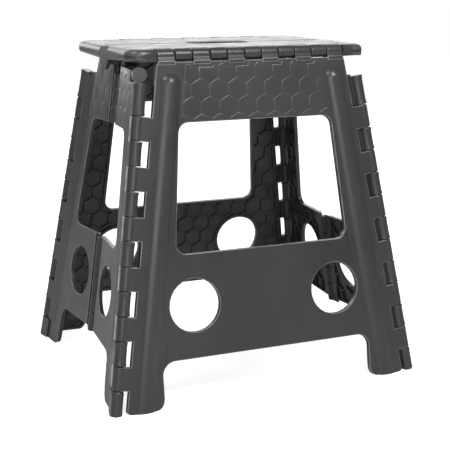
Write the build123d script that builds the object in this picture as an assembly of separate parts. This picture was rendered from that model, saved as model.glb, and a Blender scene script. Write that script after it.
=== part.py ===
"""Folding step stool: eight moulded panels on hinge rods, standing open on the floor.

The front faces -Y, the length runs along X, and the origin is on the floor under the
centre of the tread. Leg panels lean in towards the top, and each end is a pair of
halves hinged on a middle line that folds inwards.
"""
from build123d import *
from math import atan2, cos, hypot, radians, sin, sqrt, tan
import os

# Overall sizes, millimetres
STOOL_HEIGHT = 390.0  # floor to tread
TOP_LENGTH = 294.0  # tread along X
TOP_CORNER_R = 18.0  # plan radius of the tread's corners
TOP_EDGE_T = 13.0  # depth of the tread's rim
TOP_SKIN = 3.0  # tread skin over the hollow
TOP_RIM_W = 4.0  # rim and slot wall under the tread
TOP_EDGE_BREAK = 3.5  # broken edge round the tread's ends
EDGE_HALF_SPAN = 96.5  # centre plane to a tread edge hinge
CORNER_SETBACK = 18.0  # end of the tread to a corner hinge at the tread hinge's height
LEG_HALF_X = 186.3  # centre plane to a corner hinge on the floor, along X
LEG_HALF_Y = 153.7  # the same along Y
END_BEND = 5.0  # degrees that each end half is folded in when the stool stands

# Hinges
KNUCKLE_R = 6.5  # tread edge and corner knuckles
MID_KNUCKLE_R = 4.75  # knuckles on the middle line of an end
EAR_R = 5.5  # seam ears under the tread
BARREL_SIDES = 12  # flats that stand for the round of a barrel
PIN_R = 2.0  # steel rods
PIN_CLEARANCE = 0.06  # rod to the flats of its square bore
KNUCKLE_GAP = 0.6  # end play between neighbouring knuckles
TURN_GAP = 1.5  # knuckle to the edge that it turns against
SEAM_DROP = 24.5  # tread to the seam rods
SEAM_GAP = 1.0  # between the tread halves

# Leg panels
LEG_T = 6.0  # panel thickness, ribs included
LEG_SKIN = 2.5  # outer skin
LEG_RIM = 3.5  # rim round the panel, its window and its holes
LEG_NOTCH = 15.0  # corner hinge to the panel's edge between tabs
CORNER_TABS = 6  # tabs of a leg panel on each corner
TOP_TABS = 6  # tabs of a leg panel under the tread's edge
TOP_TAB_W = 20.4
TAB_RISE = 1.0  # root of a tab proud of the panel, under the tread's edge
TOP_END_W = 32.2  # plain end of the tread's edge, beyond the tabs
WINDOW_TOP_DROP = 79.0  # tread to the head of the window
WINDOW_SILL_Z = 168.0
WINDOW_TOP_HALF = 94.0
WINDOW_SILL_HALF = 107.0
WINDOW_R = 12.0
HOLE_R = 30.0
HOLE_SIDES = 28  # sides that stand for the round of a hole
HOLE_Z = 111.0
LEG_HOLE_X = 88.0
ARCH_Z = 52.0
ARCH_HALF = 130.5  # centre plane to the inner edge of a leg
ARCH_R = 15.0
FOOT_R = 8.0  # inner corner of a foot
TOE_R = 3.0  # outer corner of a foot
BEAD_SETBACK = 32.5  # corner hinge to the middle of a bead
BEAD_W = 22.0
BEAD_RISE = 6.0
BEAD_TOP_GAP = 16.0  # tread hinge to the top of a bead

# Honeycomb in the inner side of a leg panel
CELL = 30.5  # pitch across the flats
CELL_RIB = 2.0

# End halves
END_T = 5.0
END_RIM = 3.0
END_SKIN = 2.0
END_NOTCH = 13.0  # corner hinge to the half's edge between knuckles
END_LEG_W = 51.0  # corner hinge to the inner edge of the foot
END_ARCH_R = 12.0
END_TOP_DROP = 24.0  # tread to the half's top edge
END_SHELF_DROP = 36.5  # tread to the notch beside the corner lug
END_SHELF_W = 38.0
END_WINDOW_DROP = 91.0  # tread to the head of the end's window
END_WINDOW_SILL_Z = 166.0
END_WINDOW_U = 47.0  # corner hinge to the window
END_HOLE_U = 84.0
MID_SETBACK = 13.5  # middle hinge to the full thickness
MID_FLANGE = 5.4  # middle hinge to the flange beside the knuckles
MID_TOP_DROP = 32.0  # tread to the top of the upper middle knuckles
MID_LOW_Z = 48.0  # bottom of the lower middle knuckles
MID_WINDOW_GAP = 2.0  # middle knuckles to the window
MID_UPPER_COUNT = 3
MID_LOWER_COUNT = 5
LUG_R = 8.0  # bearing lug over the top corner knuckle of one half of each end
LUG_T = 7.0
LUG_DROP = 27.0  # tread to the lug's middle
LUG_OUT = 2.5  # lug centre outside the hinge plane
TOP_KNUCKLE_DROP = 36.0  # tread to the top of the highest corner knuckle
TOP_KNUCKLE_L = 35.1  # length of that knuckle

# Tread halves
SLOT_HALF_L = 39.0  # carrying slot
SLOT_HALF_W = 18.0
SLOT_R = 14.0
APRON_DROP = 2.5  # extra depth of the end rim at the seam
LOBE_R = 14.5  # round end of the front half at the seam
LOBE_SETBACK = 12.0  # seam to the lobe's middle
LOBE_DROP = 12.0  # tread to the lobe's middle
EAR_INSET = 36.0  # end of the tread to the middle of a seam hinge
EAR_W = 8.0  # middle ear
EAR_SIDE_W = 4.0  # each outer ear

# Places worked out from the sizes above
EDGE_AXIS_Z = STOOL_HEIGHT - KNUCKLE_R
TOP_HALF_W = EDGE_HALF_SPAN + KNUCKLE_R
SEAM_Z = STOOL_HEIGHT - SEAM_DROP
EAR_X = TOP_LENGTH / 2 - EAR_INSET
CORNER_TOP_HALF_X = TOP_LENGTH / 2 - CORNER_SETBACK
TOP_ROW_HALF = TOP_LENGTH / 2 - TOP_END_W
TOP_PITCH = (2 * (TOP_ROW_HALF - KNUCKLE_GAP) - TOP_TAB_W) / (TOP_TABS - 1)
ROD_REACH = TOP_TABS / 2 * TOP_PITCH
LEAN = atan2(LEG_HALF_Y - EDGE_HALF_SPAN, EDGE_AXIS_Z)
PANEL_DROP = hypot(LEG_HALF_Y - EDGE_HALF_SPAN, EDGE_AXIS_Z)
CORNER_TILT = atan2(LEG_HALF_X - CORNER_TOP_HALF_X, PANEL_DROP)
CORNER_LENGTH = hypot(LEG_HALF_X - CORNER_TOP_HALF_X, PANEL_DROP)
BORE_R = PIN_R + PIN_CLEARANCE
LEG_OUT = KNUCKLE_R
LEG_INSET = KNUCKLE_R - LEG_T

LEG_PLANE = Plane(
    origin=(0, -EDGE_HALF_SPAN, EDGE_AXIS_Z), x_dir=(1, 0, 0), z_dir=(0, -cos(LEAN), sin(LEAN))
)
CORNER_TOP = Vector(-CORNER_TOP_HALF_X, EDGE_HALF_SPAN, EDGE_AXIS_Z)
CORNER_FLOOR = Vector(-LEG_HALF_X, LEG_HALF_Y, 0)
CORNER_UP = (CORNER_TOP - CORNER_FLOOR).normalized()
CORNER_STATION = (STOOL_HEIGHT - TOP_KNUCKLE_DROP) / CORNER_UP.Z
CORNER_PITCH = (CORNER_STATION - TOP_KNUCKLE_L) / (2 * CORNER_TABS)
APEX = CORNER_TOP + CORNER_UP * (CORNER_LENGTH * EDGE_HALF_SPAN / (LEG_HALF_Y - EDGE_HALF_SPAN))
MID_FLOOR = Vector(-LEG_HALF_X + LEG_HALF_Y * tan(radians(END_BEND)), 0, 0)
MID_UP = (APEX - MID_FLOOR).normalized()
TO_MID = MID_FLOOR - CORNER_FLOOR
END_ACROSS = (TO_MID - CORNER_UP * TO_MID.dot(CORNER_UP)).normalized()
END_PLANE = Plane(origin=CORNER_TOP, x_dir=END_ACROSS, z_dir=END_ACROSS.cross(CORNER_UP))
END_TOP_Z = STOOL_HEIGHT - END_TOP_DROP
END_WINDOW_TOP_Z = STOOL_HEIGHT - END_WINDOW_DROP
MID_LOWER_Z = (MID_LOW_Z, END_WINDOW_SILL_Z - MID_WINDOW_GAP)
MID_UPPER_Z = (END_WINDOW_TOP_Z + MID_WINDOW_GAP / 2, STOOL_HEIGHT - MID_TOP_DROP)


def rounded_face(*corners):
    """A flat face from (x, y, radius) corners, sharp where the radius is 0."""
    face = make_face(Polyline(*[(x, y) for x, y, _ in corners], close=True))
    for x, y, radius in corners:
        if radius:
            face = fillet(face.vertices().sort_by_distance((x, y, 0))[0], radius)
    return face


def flipped(corners):
    """Corners mirrored to the other side of the centre line, in turn."""
    return [(-x, y, radius) for x, y, radius in reversed(corners)]


def barrel(radius):
    """Section of a hinge barrel, its flats as far out as the round."""
    return RegularPolygon(radius, BARREL_SIDES, major_radius=False, rotation=180 / BARREL_SIDES)


def round_hole(radius):
    """Section of a large round hole."""
    return RegularPolygon(radius, HOLE_SIDES, major_radius=False)


def rod_bore():
    """Square bore whose flats clear a hinge rod."""
    return Rectangle(2 * BORE_R, 2 * BORE_R)


def block(x_from, x_to, y_from, y_to):
    """A rectangle between two corners."""
    centre = Pos((x_from + x_to) / 2, (y_from + y_to) / 2)
    return centre * Rectangle(x_to - x_from, y_to - y_from)


def span(section, hinge, start, end):
    """A hinge section run along its axis between two stations."""
    return extrude(hinge.offset(start) * section, amount=end - start)


def below_floor():
    """Everything under the floor, to trim the feet flat."""
    return Pos(0, 0, -STOOL_HEIGHT / 2) * Box(4 * LEG_HALF_X, 4 * LEG_HALF_Y, STOOL_HEIGHT)


def leg_level(z):
    """Distance along a leg panel, from the tread hinge, of a height on its outer face."""
    return (z - EDGE_AXIS_Z - LEG_OUT * sin(LEAN)) / cos(LEAN)


def leg_edges(rounding):
    """Outer face and window face of a leg panel, their corner radii scaled by rounding."""
    def edge(v):
        return CORNER_TOP_HALF_X - v * tan(CORNER_TILT) - LEG_NOTCH / cos(CORNER_TILT)

    top = -(KNUCKLE_R + TURN_GAP)
    foot = -PANEL_DROP - LEG_OUT * tan(LEAN)
    arch = leg_level(ARCH_Z)
    sill = leg_level(WINDOW_SILL_Z)
    head = leg_level(STOOL_HEIGHT - WINDOW_TOP_DROP)
    right = [
        (edge(top), top, rounding * FOOT_R / 2),
        (edge(foot), foot, rounding * TOE_R),
        (ARCH_HALF, foot, rounding * FOOT_R),
        (ARCH_HALF, arch, rounding * ARCH_R),
    ]
    window = [
        (WINDOW_TOP_HALF, head, rounding * WINDOW_R),
        (WINDOW_SILL_HALF, sill, rounding * WINDOW_R),
    ]
    return rounded_face(*right, *flipped(right)), rounded_face(*window, *flipped(window))


def leg_holes(section):
    """The two round holes of a leg panel, from a section at the origin."""
    return [Pos(x, leg_level(HOLE_Z)) * section for x in (-LEG_HOLE_X, LEG_HOLE_X)]


def honeycomb(region):
    """Whole cells of the rib pattern that fit in a flat region."""
    row_step = CELL * sqrt(3) / 2
    box = region.bounding_box()
    columns = int(box.size.X / CELL / 2) + 1
    rows = int(box.size.Y / row_step) + 1
    cell = RegularPolygon((CELL - CELL_RIB) / 2, 6, major_radius=False, rotation=30)
    corners = [Vector(0, 0, 0)] + [vertex.center() for vertex in cell.vertices()]
    cells = []
    for row in range(rows):
        for column in range(-columns, columns + 1):
            place = Vector((column + 0.5 * (row % 2)) * CELL, box.max.Y - CELL / 2 - row * row_step, 0)
            if all(region.is_inside(place + corner) for corner in corners):
                cells.append(Pos(place) * cell)
    return Sketch() + cells


def leg_plate():
    """Leg panel without its tabs and beads: a skin with honeycomb ribs on its inner side."""
    outline, window = leg_edges(1)
    inner_side = Plane.XY.offset(LEG_INSET)
    face = outline - window - leg_holes(round_hole(HOLE_R))
    plate = extrude(inner_side * face, amount=LEG_T)
    outline, window = leg_edges(0)
    region = offset(outline, -LEG_RIM, kind=Kind.INTERSECTION)
    region -= offset(window, LEG_RIM, kind=Kind.INTERSECTION)
    region -= leg_holes(round_hole(HOLE_R + LEG_RIM))
    cells = honeycomb(region.face())
    return plate - extrude(inner_side * cells, amount=LEG_T - LEG_SKIN)


def leg_knuckle(neck):
    """Section of a leg panel's knuckle: barrel, neck flush with the outer face, bore."""
    return barrel(KNUCKLE_R) + block(0, neck, -LEG_OUT, -LEG_INSET) - rod_bore()


def leg_bead(hinge):
    """Half-round bead up the outer face, beside a corner hinge."""
    radius = (BEAD_W**2 / 4 + BEAD_RISE**2) / (2 * BEAD_RISE)
    depth = LEG_OUT + BEAD_RISE - radius
    line = Plane(
        origin=hinge.origin + hinge.x_dir * BEAD_SETBACK, x_dir=hinge.x_dir, z_dir=hinge.z_dir
    )
    top = CORNER_LENGTH - BEAD_TOP_GAP - BEAD_W / 2
    bar = span(Pos(0, -depth) * Circle(radius), line, -BEAD_W, top)
    dome = line.offset(top).location * Pos(0, -depth, 0) * Sphere(radius)
    outer_face = Plane.XY.offset(LEG_OUT - LEG_SKIN / 2)
    return split(bar + dome, bisect_by=outer_face, keep=Keep.TOP)


def leg_panel():
    """Front leg panel, in its place."""
    corner = Plane(
        origin=(-LEG_HALF_X, -PANEL_DROP, 0),
        x_dir=(cos(CORNER_TILT), -sin(CORNER_TILT), 0),
        z_dir=(sin(CORNER_TILT), cos(CORNER_TILT), 0),
    )
    side = leg_bead(corner)
    tab = leg_knuckle(LEG_NOTCH + LEG_RIM)
    for row in range(CORNER_TABS):
        start = (2 * row + 1) * CORNER_PITCH + KNUCKLE_GAP / 2
        side += span(tab, corner, start, start + CORNER_PITCH - KNUCKLE_GAP)
    panel = leg_plate() + side + mirror(side, about=Plane.YZ)
    tread = Plane(origin=(0, 0, 0), x_dir=(0, -1, 0), z_dir=(1, 0, 0))
    root = KNUCKLE_R + TURN_GAP + LEG_RIM
    tab = leg_knuckle(root) + block(KNUCKLE_R, root, -LEG_OUT - TAB_RISE, -LEG_OUT)
    for column in range(TOP_TABS):
        start = (column - (TOP_TABS - 1) / 2) * TOP_PITCH - TOP_TAB_W / 2
        panel += span(tab, tread, start, start + TOP_TAB_W)
    return LEG_PLANE.location * panel - below_floor()


def end_level(u, z):
    """Point of an end half at a distance from the corner hinge and a height."""
    return u, (z - EDGE_AXIS_Z - u * END_ACROSS.Z) / CORNER_UP.Z


def mid_hinge():
    """Middle hinge of an end in the half's own plane, x towards the half."""
    origin = END_PLANE.to_local_coords(MID_FLOOR)
    across = MID_UP.dot(END_ACROSS)
    up = MID_UP.dot(CORNER_UP)
    return Plane(origin=origin, x_dir=(-up, across, 0), z_dir=(across, up, 0))


def mid_point(z, setback):
    """Point of an end half at a height and a distance from the middle hinge."""
    hinge = mid_hinge()
    place = hinge.origin + hinge.z_dir * (z / MID_UP.Z) + hinge.x_dir * setback
    return place.X, place.Y


def end_edges(rounding):
    """Full thickness of an end half, knuckles and hole left out, radii scaled by rounding."""
    return rounded_face(
        (*end_level(END_NOTCH, -END_T), 0),
        (*end_level(END_LEG_W, -END_T), 0),
        (*end_level(END_LEG_W, ARCH_Z), rounding * END_ARCH_R),
        (*mid_point(ARCH_Z, MID_SETBACK), 0),
        (*mid_point(END_WINDOW_SILL_Z, MID_SETBACK), 0),
        (*end_level(END_WINDOW_U, END_WINDOW_SILL_Z), rounding * WINDOW_R),
        (*end_level(END_WINDOW_U, END_WINDOW_TOP_Z), rounding * WINDOW_R),
        (*mid_point(END_WINDOW_TOP_Z, MID_SETBACK), 0),
        (*mid_point(END_TOP_Z, MID_SETBACK), 0),
        (*end_level(END_SHELF_W, END_TOP_Z), 0),
        (*end_level(END_SHELF_W, STOOL_HEIGHT - END_SHELF_DROP), rounding * END_RIM),
        (*end_level(END_NOTCH, STOOL_HEIGHT - END_SHELF_DROP), 0),
    )


def end_plate():
    """End half without its knuckles: a skin with a rim on its inner side."""
    hole = Pos(*end_level(END_HOLE_U, HOLE_Z))
    inner_side = Plane.XY.offset(-END_T / 2)
    plate = extrude(inner_side * (end_edges(1) - hole * round_hole(HOLE_R)), amount=END_T)
    hollow = offset(end_edges(0), -END_RIM, kind=Kind.INTERSECTION)
    hollow -= hole * barrel(HOLE_R + END_RIM)
    return plate - extrude(inner_side * hollow, amount=END_T - END_SKIN)


def mid_flange(z_from, z_to):
    """Thinner strip beside the middle hinge, where the folded halves close on each other."""
    inner = MID_SETBACK + END_RIM
    strip = make_face(
        Polyline(
            mid_point(z_from, inner),
            mid_point(z_from, MID_FLANGE),
            mid_point(z_to, MID_FLANGE),
            mid_point(z_to, inner),
            close=True,
        )
    )
    return extrude(Plane.XY.offset(-END_T / 2) * strip, amount=END_T / 2)


def mid_knuckles(hooked):
    """Knuckles of one half on the middle hinge: bored barrels, or hooks open to the outside."""
    section = barrel(MID_KNUCKLE_R) + block(0, MID_SETBACK + END_RIM, -END_T / 2, 0)
    if hooked:
        section -= block(-MID_KNUCKLE_R, BORE_R, -BORE_R, MID_KNUCKLE_R)
    else:
        section -= rod_bore()
    hinge = mid_hinge()
    knuckles = []
    for (low, high), count in ((MID_LOWER_Z, MID_LOWER_COUNT), (MID_UPPER_Z, MID_UPPER_COUNT)):
        step = (high - low) / MID_UP.Z / count
        for place in range(0 if hooked else 1, count, 2):
            start = low / MID_UP.Z + place * step + KNUCKLE_GAP / 2
            knuckles.append(span(section, hinge, start, start + step - KNUCKLE_GAP))
    return knuckles


def corner_knuckles(lugged):
    """Corner knuckles of an end half, with or without the bearing lug over the highest one."""
    root = END_NOTCH + END_RIM
    neck = make_face(
        Polyline((0, END_T / 2), (root, END_T / 2), (root, -END_T / 2), (0, -KNUCKLE_R), close=True)
    )
    section = barrel(KNUCKLE_R) + neck - rod_bore()
    corner = Plane(origin=(0, -CORNER_LENGTH, 0), x_dir=(1, 0, 0), z_dir=(0, 1, 0))
    knuckles = []
    for row in range(CORNER_TABS + 1):
        start = 2 * row * CORNER_PITCH + KNUCKLE_GAP / 2
        end = start + CORNER_PITCH - KNUCKLE_GAP
        if row == 0:
            start = -KNUCKLE_R
        if row == CORNER_TABS:
            end = CORNER_STATION
        knuckles.append(span(section, corner, start, end))
    if lugged:
        lug_station = (STOOL_HEIGHT - LUG_DROP) / CORNER_UP.Z
        stem = Pos(0, -LUG_OUT) * Rectangle(LUG_T, LUG_R)
        knuckles.append(span(stem, corner, CORNER_STATION - END_RIM, lug_station))
        lug = Plane(
            origin=corner.origin + Vector(-LUG_T / 2, lug_station, LUG_OUT),
            x_dir=(0, 1, 0),
            z_dir=(1, 0, 0),
        )
        knuckles.append(extrude(lug * barrel(LUG_R), amount=LUG_T))
    return knuckles


def end_half(hooked):
    """Rear half of the left end, in its place."""
    half = end_plate() + mid_flange(ARCH_Z, END_WINDOW_SILL_Z)
    half += mid_flange(END_WINDOW_TOP_Z, END_TOP_Z)
    for knuckle in corner_knuckles(not hooked) + mid_knuckles(hooked):
        half += knuckle
    return END_PLANE.location * half - below_floor()


def tread_outline():
    """Plan of the front tread half, without its knuckles."""
    half_l = TOP_LENGTH / 2
    seam = -SEAM_GAP / 2
    plan = rounded_face(
        (-half_l, seam, 0),
        (-half_l, -TOP_HALF_W, TOP_CORNER_R),
        (half_l, -TOP_HALF_W, TOP_CORNER_R),
        (half_l, seam, 0),
    )
    row_edge = -EDGE_HALF_SPAN + KNUCKLE_R + TURN_GAP
    knuckle_row = block(-TOP_ROW_HALF, TOP_ROW_HALF, -2 * TOP_HALF_W, row_edge)
    slot = RectangleRounded(2 * SLOT_HALF_L, 2 * SLOT_HALF_W, SLOT_R)
    return plan - knuckle_row - slot


def tread_hollow():
    """Plan of the hollow under the front tread half, inside its rim and the slot's wall."""
    half_l = TOP_LENGTH / 2 - TOP_RIM_W
    row_edge = -EDGE_HALF_SPAN + KNUCKLE_R + TURN_GAP + TOP_RIM_W
    slot_l = SLOT_HALF_L + TOP_RIM_W
    slot_w = SLOT_HALF_W + TOP_RIM_W
    hollow = block(-half_l, half_l, row_edge, -SEAM_GAP / 2 - TOP_RIM_W)
    return hollow - block(-slot_l, slot_l, -slot_w, slot_w)


def seam_lobes(side, radius, width):
    """Discs at both ends of the tread, on one side of the seam."""
    lobe = Plane.YZ * Pos(side * LOBE_SETBACK, STOOL_HEIGHT - LOBE_DROP) * round_hole(radius)
    disc = extrude(lobe, amount=width)
    return [Pos(start, 0, 0) * disc for start in (-TOP_LENGTH / 2, TOP_LENGTH / 2 - width)]


def seam_ears(outer):
    """Ears under one tread half that carry the seam rods."""
    under = STOOL_HEIGHT - TOP_SKIN
    section = barrel(EAR_R) + block(-EAR_R, -SEAM_GAP / 2, 0, under - SEAM_Z + TOP_SKIN / 2)
    section -= rod_bore()
    seam = Plane(origin=(0, 0, SEAM_Z), x_dir=(0, 1, 0), z_dir=(1, 0, 0))
    half = EAR_W / 2
    if outer:
        spans = [(-half - KNUCKLE_GAP - EAR_SIDE_W, EAR_SIDE_W), (half + KNUCKLE_GAP, EAR_SIDE_W)]
    else:
        spans = [(-half, EAR_W)]
    return [
        span(section, seam, side * EAR_X + start, side * EAR_X + start + width)
        for side in (-1, 1)
        for start, width in spans
    ]


def tread_half(outer_ears):
    """Front tread half, in its place."""
    under = STOOL_HEIGHT - TOP_EDGE_T
    outline = tread_outline()
    half = extrude(Plane.XY.offset(under) * outline, amount=TOP_EDGE_T)
    ends = half.edges().group_by(Axis.Z)[-1].filter_by(
        lambda edge: abs(edge.center().X) > TOP_ROW_HALF + TOP_EDGE_BREAK
    )
    half = chamfer(ends, TOP_EDGE_BREAK)
    half -= extrude(Plane.XY.offset(under) * tread_hollow(), amount=TOP_EDGE_T - TOP_SKIN)
    edge = Plane(origin=(0, -EDGE_HALF_SPAN, EDGE_AXIS_Z), x_dir=(0, 1, 0), z_dir=(1, 0, 0))
    neck = KNUCKLE_R + TURN_GAP + TOP_RIM_W / 2
    knuckle = barrel(KNUCKLE_R) + block(0, neck, under - EDGE_AXIS_Z, KNUCKLE_R)
    width = TOP_PITCH - TOP_TAB_W - 2 * KNUCKLE_GAP
    for column in range(TOP_TABS - 1):
        start = (column - (TOP_TABS - 2) / 2) * TOP_PITCH - width / 2
        half += span(knuckle, edge, start, start + width)
    seam = -SEAM_GAP / 2
    apron = Plane.YZ * make_face(
        Polyline(
            (-TOP_HALF_W + TOP_CORNER_R, under + TOP_SKIN),
            (-TOP_HALF_W + TOP_CORNER_R, under),
            (seam, under - APRON_DROP),
            (seam, under + TOP_SKIN),
            close=True,
        )
    )
    for start in (-TOP_LENGTH / 2, TOP_LENGTH / 2 - TOP_RIM_W):
        half += Pos(start, 0, 0) * extrude(apron, amount=TOP_RIM_W)
    if outer_ears:
        over = Pos(0, 0, STOOL_HEIGHT + LOBE_R) * Box(2 * TOP_LENGTH, 4 * LOBE_R, 2 * LOBE_R)
        for lobe in seam_lobes(-1, LOBE_R, TOP_RIM_W):
            half += lobe - over
    else:
        for lobe in seam_lobes(1, LOBE_R + SEAM_GAP, TOP_RIM_W + SEAM_GAP):
            half -= lobe
    for ear in seam_ears(outer_ears):
        half += ear
    half -= span(rod_bore(), edge, -ROD_REACH - PIN_R, TOP_LENGTH)
    return half


def rod(start, direction, length):
    """A hinge rod from a point along a direction."""
    return extrude(Plane(origin=start, z_dir=direction) * Circle(PIN_R), amount=length)


def corner_rod():
    """Rod of the rear left corner hinge."""
    foot = 2 * PIN_R / CORNER_UP.Z
    top = CORNER_STATION - END_RIM - PIN_R
    return rod(CORNER_FLOOR + CORNER_UP * foot, CORNER_UP, top - foot)


def mid_rod(heights):
    """Rod of one stretch of the left end's middle hinge."""
    low, high = (z / MID_UP.Z for z in heights)
    return rod(MID_FLOOR + MID_UP * (low + PIN_R), MID_UP, high - low - 2 * PIN_R)


def seam_rod(side):
    """Rod of one seam hinge."""
    reach = EAR_W / 2 + KNUCKLE_GAP + EAR_SIDE_W - PIN_R / 2
    return rod((side * EAR_X - reach, 0, SEAM_Z), (1, 0, 0), 2 * reach)


def build():
    """Every piece of the stool by name, in its place."""
    half_turn = Rot(0, 0, 180)
    front_panel = leg_panel()
    left_rear = end_half(hooked=True)
    left_front = mirror(end_half(hooked=False), about=Plane.XZ)
    tread_rod = rod((-ROD_REACH, -EDGE_HALF_SPAN, EDGE_AXIS_Z), (1, 0, 0), 2 * ROD_REACH)
    rear_left_rod = corner_rod()
    front_left_rod = mirror(rear_left_rod, about=Plane.XZ)
    upper_rod = mid_rod(MID_UPPER_Z)
    lower_rod = mid_rod(MID_LOWER_Z)
    return {
        "front_panel": front_panel,
        "rear_panel": half_turn * front_panel,
        "tread_front": tread_half(outer_ears=True),
        "tread_rear": half_turn * tread_half(outer_ears=False),
        "left_end_front": left_front,
        "left_end_rear": left_rear,
        "right_end_front": half_turn * left_rear,
        "right_end_rear": half_turn * left_front,
        "rod_tread_front": tread_rod,
        "rod_tread_rear": half_turn * tread_rod,
        "rod_seam_left": seam_rod(-1),
        "rod_seam_right": seam_rod(1),
        "rod_corner_front_left": front_left_rod,
        "rod_corner_front_right": half_turn * rear_left_rod,
        "rod_corner_rear_left": rear_left_rod,
        "rod_corner_rear_right": half_turn * front_left_rod,
        "rod_left_upper": upper_rod,
        "rod_left_lower": lower_rod,
        "rod_right_upper": half_turn * upper_rod,
        "rod_right_lower": half_turn * lower_rod,
    }


if __name__ == "__main__":
    os.makedirs("parts", exist_ok=True)
    for name, piece in build().items():
        export_step(piece, f"parts/{name}.step")
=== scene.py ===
"""Dress a folding step stool: ribbed panels, round hinge barrels, rods and a white studio."""
from math import acos, atan2, ceil, cos, pi, radians, sin, sqrt

import bmesh
import bpy
from bpy.props import FloatProperty, FloatVectorProperty, PointerProperty
from mathutils import Matrix, Vector


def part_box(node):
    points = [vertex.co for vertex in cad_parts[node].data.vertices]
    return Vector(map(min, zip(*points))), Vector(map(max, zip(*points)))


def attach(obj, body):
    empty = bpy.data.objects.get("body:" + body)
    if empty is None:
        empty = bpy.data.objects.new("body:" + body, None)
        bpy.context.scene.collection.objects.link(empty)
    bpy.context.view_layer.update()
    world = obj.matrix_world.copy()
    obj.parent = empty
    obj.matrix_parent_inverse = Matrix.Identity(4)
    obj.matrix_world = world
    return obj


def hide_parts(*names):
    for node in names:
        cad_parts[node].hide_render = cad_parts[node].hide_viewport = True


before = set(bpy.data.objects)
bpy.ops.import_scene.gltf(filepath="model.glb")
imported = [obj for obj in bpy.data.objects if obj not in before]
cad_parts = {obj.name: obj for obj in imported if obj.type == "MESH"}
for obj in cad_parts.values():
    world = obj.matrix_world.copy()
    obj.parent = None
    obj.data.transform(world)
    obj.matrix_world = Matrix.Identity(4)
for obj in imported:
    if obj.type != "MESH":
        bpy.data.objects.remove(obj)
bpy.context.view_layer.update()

bl_info = {
    "name": "Folding step stool",
    "version": (1, 0, 0),
    "blender": (4, 5, 0),
    "location": "3D View > Sidebar > Stool",
    "description": "Builds the moulded panels, hinge barrels and studio of a folding step stool",
    "category": "Object",
}

CAD_SIDES = 12  # flats of a barrel in the frame
MERGE = 6e-5  # points closer than this are one point
FLAT = 0.995  # cosine within which a face counts as flat
NEAR = 5e-5  # heights closer than this are one level
WALL = 0.4  # cosine under which a face counts as a wall beside an outer face
BORE = 0.0034  # from a hinge line, past the corners of the square bore
NECK = 0.0128  # from a hinge line, short of the panel's edge
BARREL = 0.0075  # from a hinge line, past its knuckles
LIMIT = 0.0003  # places closer than this are one place
TOE_REACH = 0.0035  # how far the corner of a foot reaches into a leg panel
STANDS = 0.7  # cosine of a face that a foot stands on, or nearly so
TOE = 0.004  # edges this near the floor stay sharp
WEAR_AND_LIGHT = "wear_and_painted_light"  # face attribute of rubbing and painted light: highlights on edges, hexagons and crests, sheen on the tread's ends, a lit inner side
PAINTED_HEX_HIGHLIGHT = 0.08  # painted highlight along the slopes of the raised hexagons
PAINTED_CREST_HIGHLIGHT = 4  # painted highlight along a flange's crest, at full strength all along
PAINTED_END_SHEEN = 0.3  # painted sheen round the ends of the tread
PAINTED_CORE_LIGHT = 0.16  # painted light on the core side of a leg panel, made paler
LIES = 0.5  # a panel whose outer face points up by more than this lies flat
ONE_PLANE = radians(0.5)  # triangles within this angle are one flat face
MANY = 12  # a face of more corners is split before its edges are rounded
STEEP = 0.7  # rise of an edge that counts as a foot's side
TOE_CURVE = (0, 0.2, 0.4, 0.6, 0.8, 1)  # steps along a foot's rounding
ROUND_STEPS = 3  # faces across a rounded edge
ROUND_SIDES = 40  # faces round a barrel
BARREL_LOOPS = 8  # loops along a barrel
FLARE_POWER = 6  # how late a barrel's flare sets in
SLIVER = 1.2  # a clipped hexagon this close to its own slopes is left out
SMOOTH = radians(35)  # edges under this angle are shaded smooth
SHARP = radians(30)  # edges over this angle are rounded at the tread's ends
BROKEN = (0.6, 0.8)  # how far the broken edge of the tread points up
UNDER = -0.9  # a face that points down by more than this is an underside
NOISE_RANGE = (0.3, 0.7)  # where most values of a noise lie
CLOUDS = (11, 5)  # scale and detail of a noise, here and below
PATCHES = (70, 4)
GLOSS = (35, 6)
GRAIN = (1500, 2)
WAVES = (60, 3)
DRAWN = 700  # scale of the lines on a rod
FLOOR_SIZE = 40
SENSOR = 36  # width of the camera's sensor in mm
LAMPS = (  # name, place, what it points at, width, height, watts
    ("front", (0.1, -0.8, 0.95), (0, 0, 0.36), 0.4, 0.35, 8),
    ("low front", (-0.62, -1.5, 0.5), (0, 0, 0.22), 0.9, 0.6, 5.5),
    ("top", (-1.0, -0.3, 1.75), (0, 0, 0.3), 0.6, 0.6, 11),
    ("left", (-1.7, -0.8, 1.1), (0, 0, 0.3), 0.25, 0.9, 2),
    ("back right", (1.0, 2.1, 0.95), (0, 0, 0.38), 1.8, 1.0, 13),
    ("back left", (-0.6, 2.1, 1.1), (0, 0, 0.38), 0.9, 1.6, 15),
)

LEG_PANELS = ("front_panel", "rear_panel")
TREADS = ("tread_front", "tread_rear")
END_HALVES = ("left_end_front", "left_end_rear", "right_end_front", "right_end_rear")
LUGGED_ENDS = ("left_end_front", "right_end_rear")


def metres(name, description, default):
    """Property of a length."""
    return FloatProperty(name=name, description=description, default=default, unit="LENGTH")


def share(name, description, default):
    """Property of a share of one."""
    return FloatProperty(name=name, description=description, default=default, subtype="FACTOR")


def paint(name, description, default):
    """Property of a colour."""
    return FloatVectorProperty(
        name=name, description=description, default=default, subtype="COLOR"
    )


def position(name, description, default):
    """Property of a place."""
    return FloatVectorProperty(
        name=name, description=description, default=default, subtype="TRANSLATION"
    )


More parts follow.
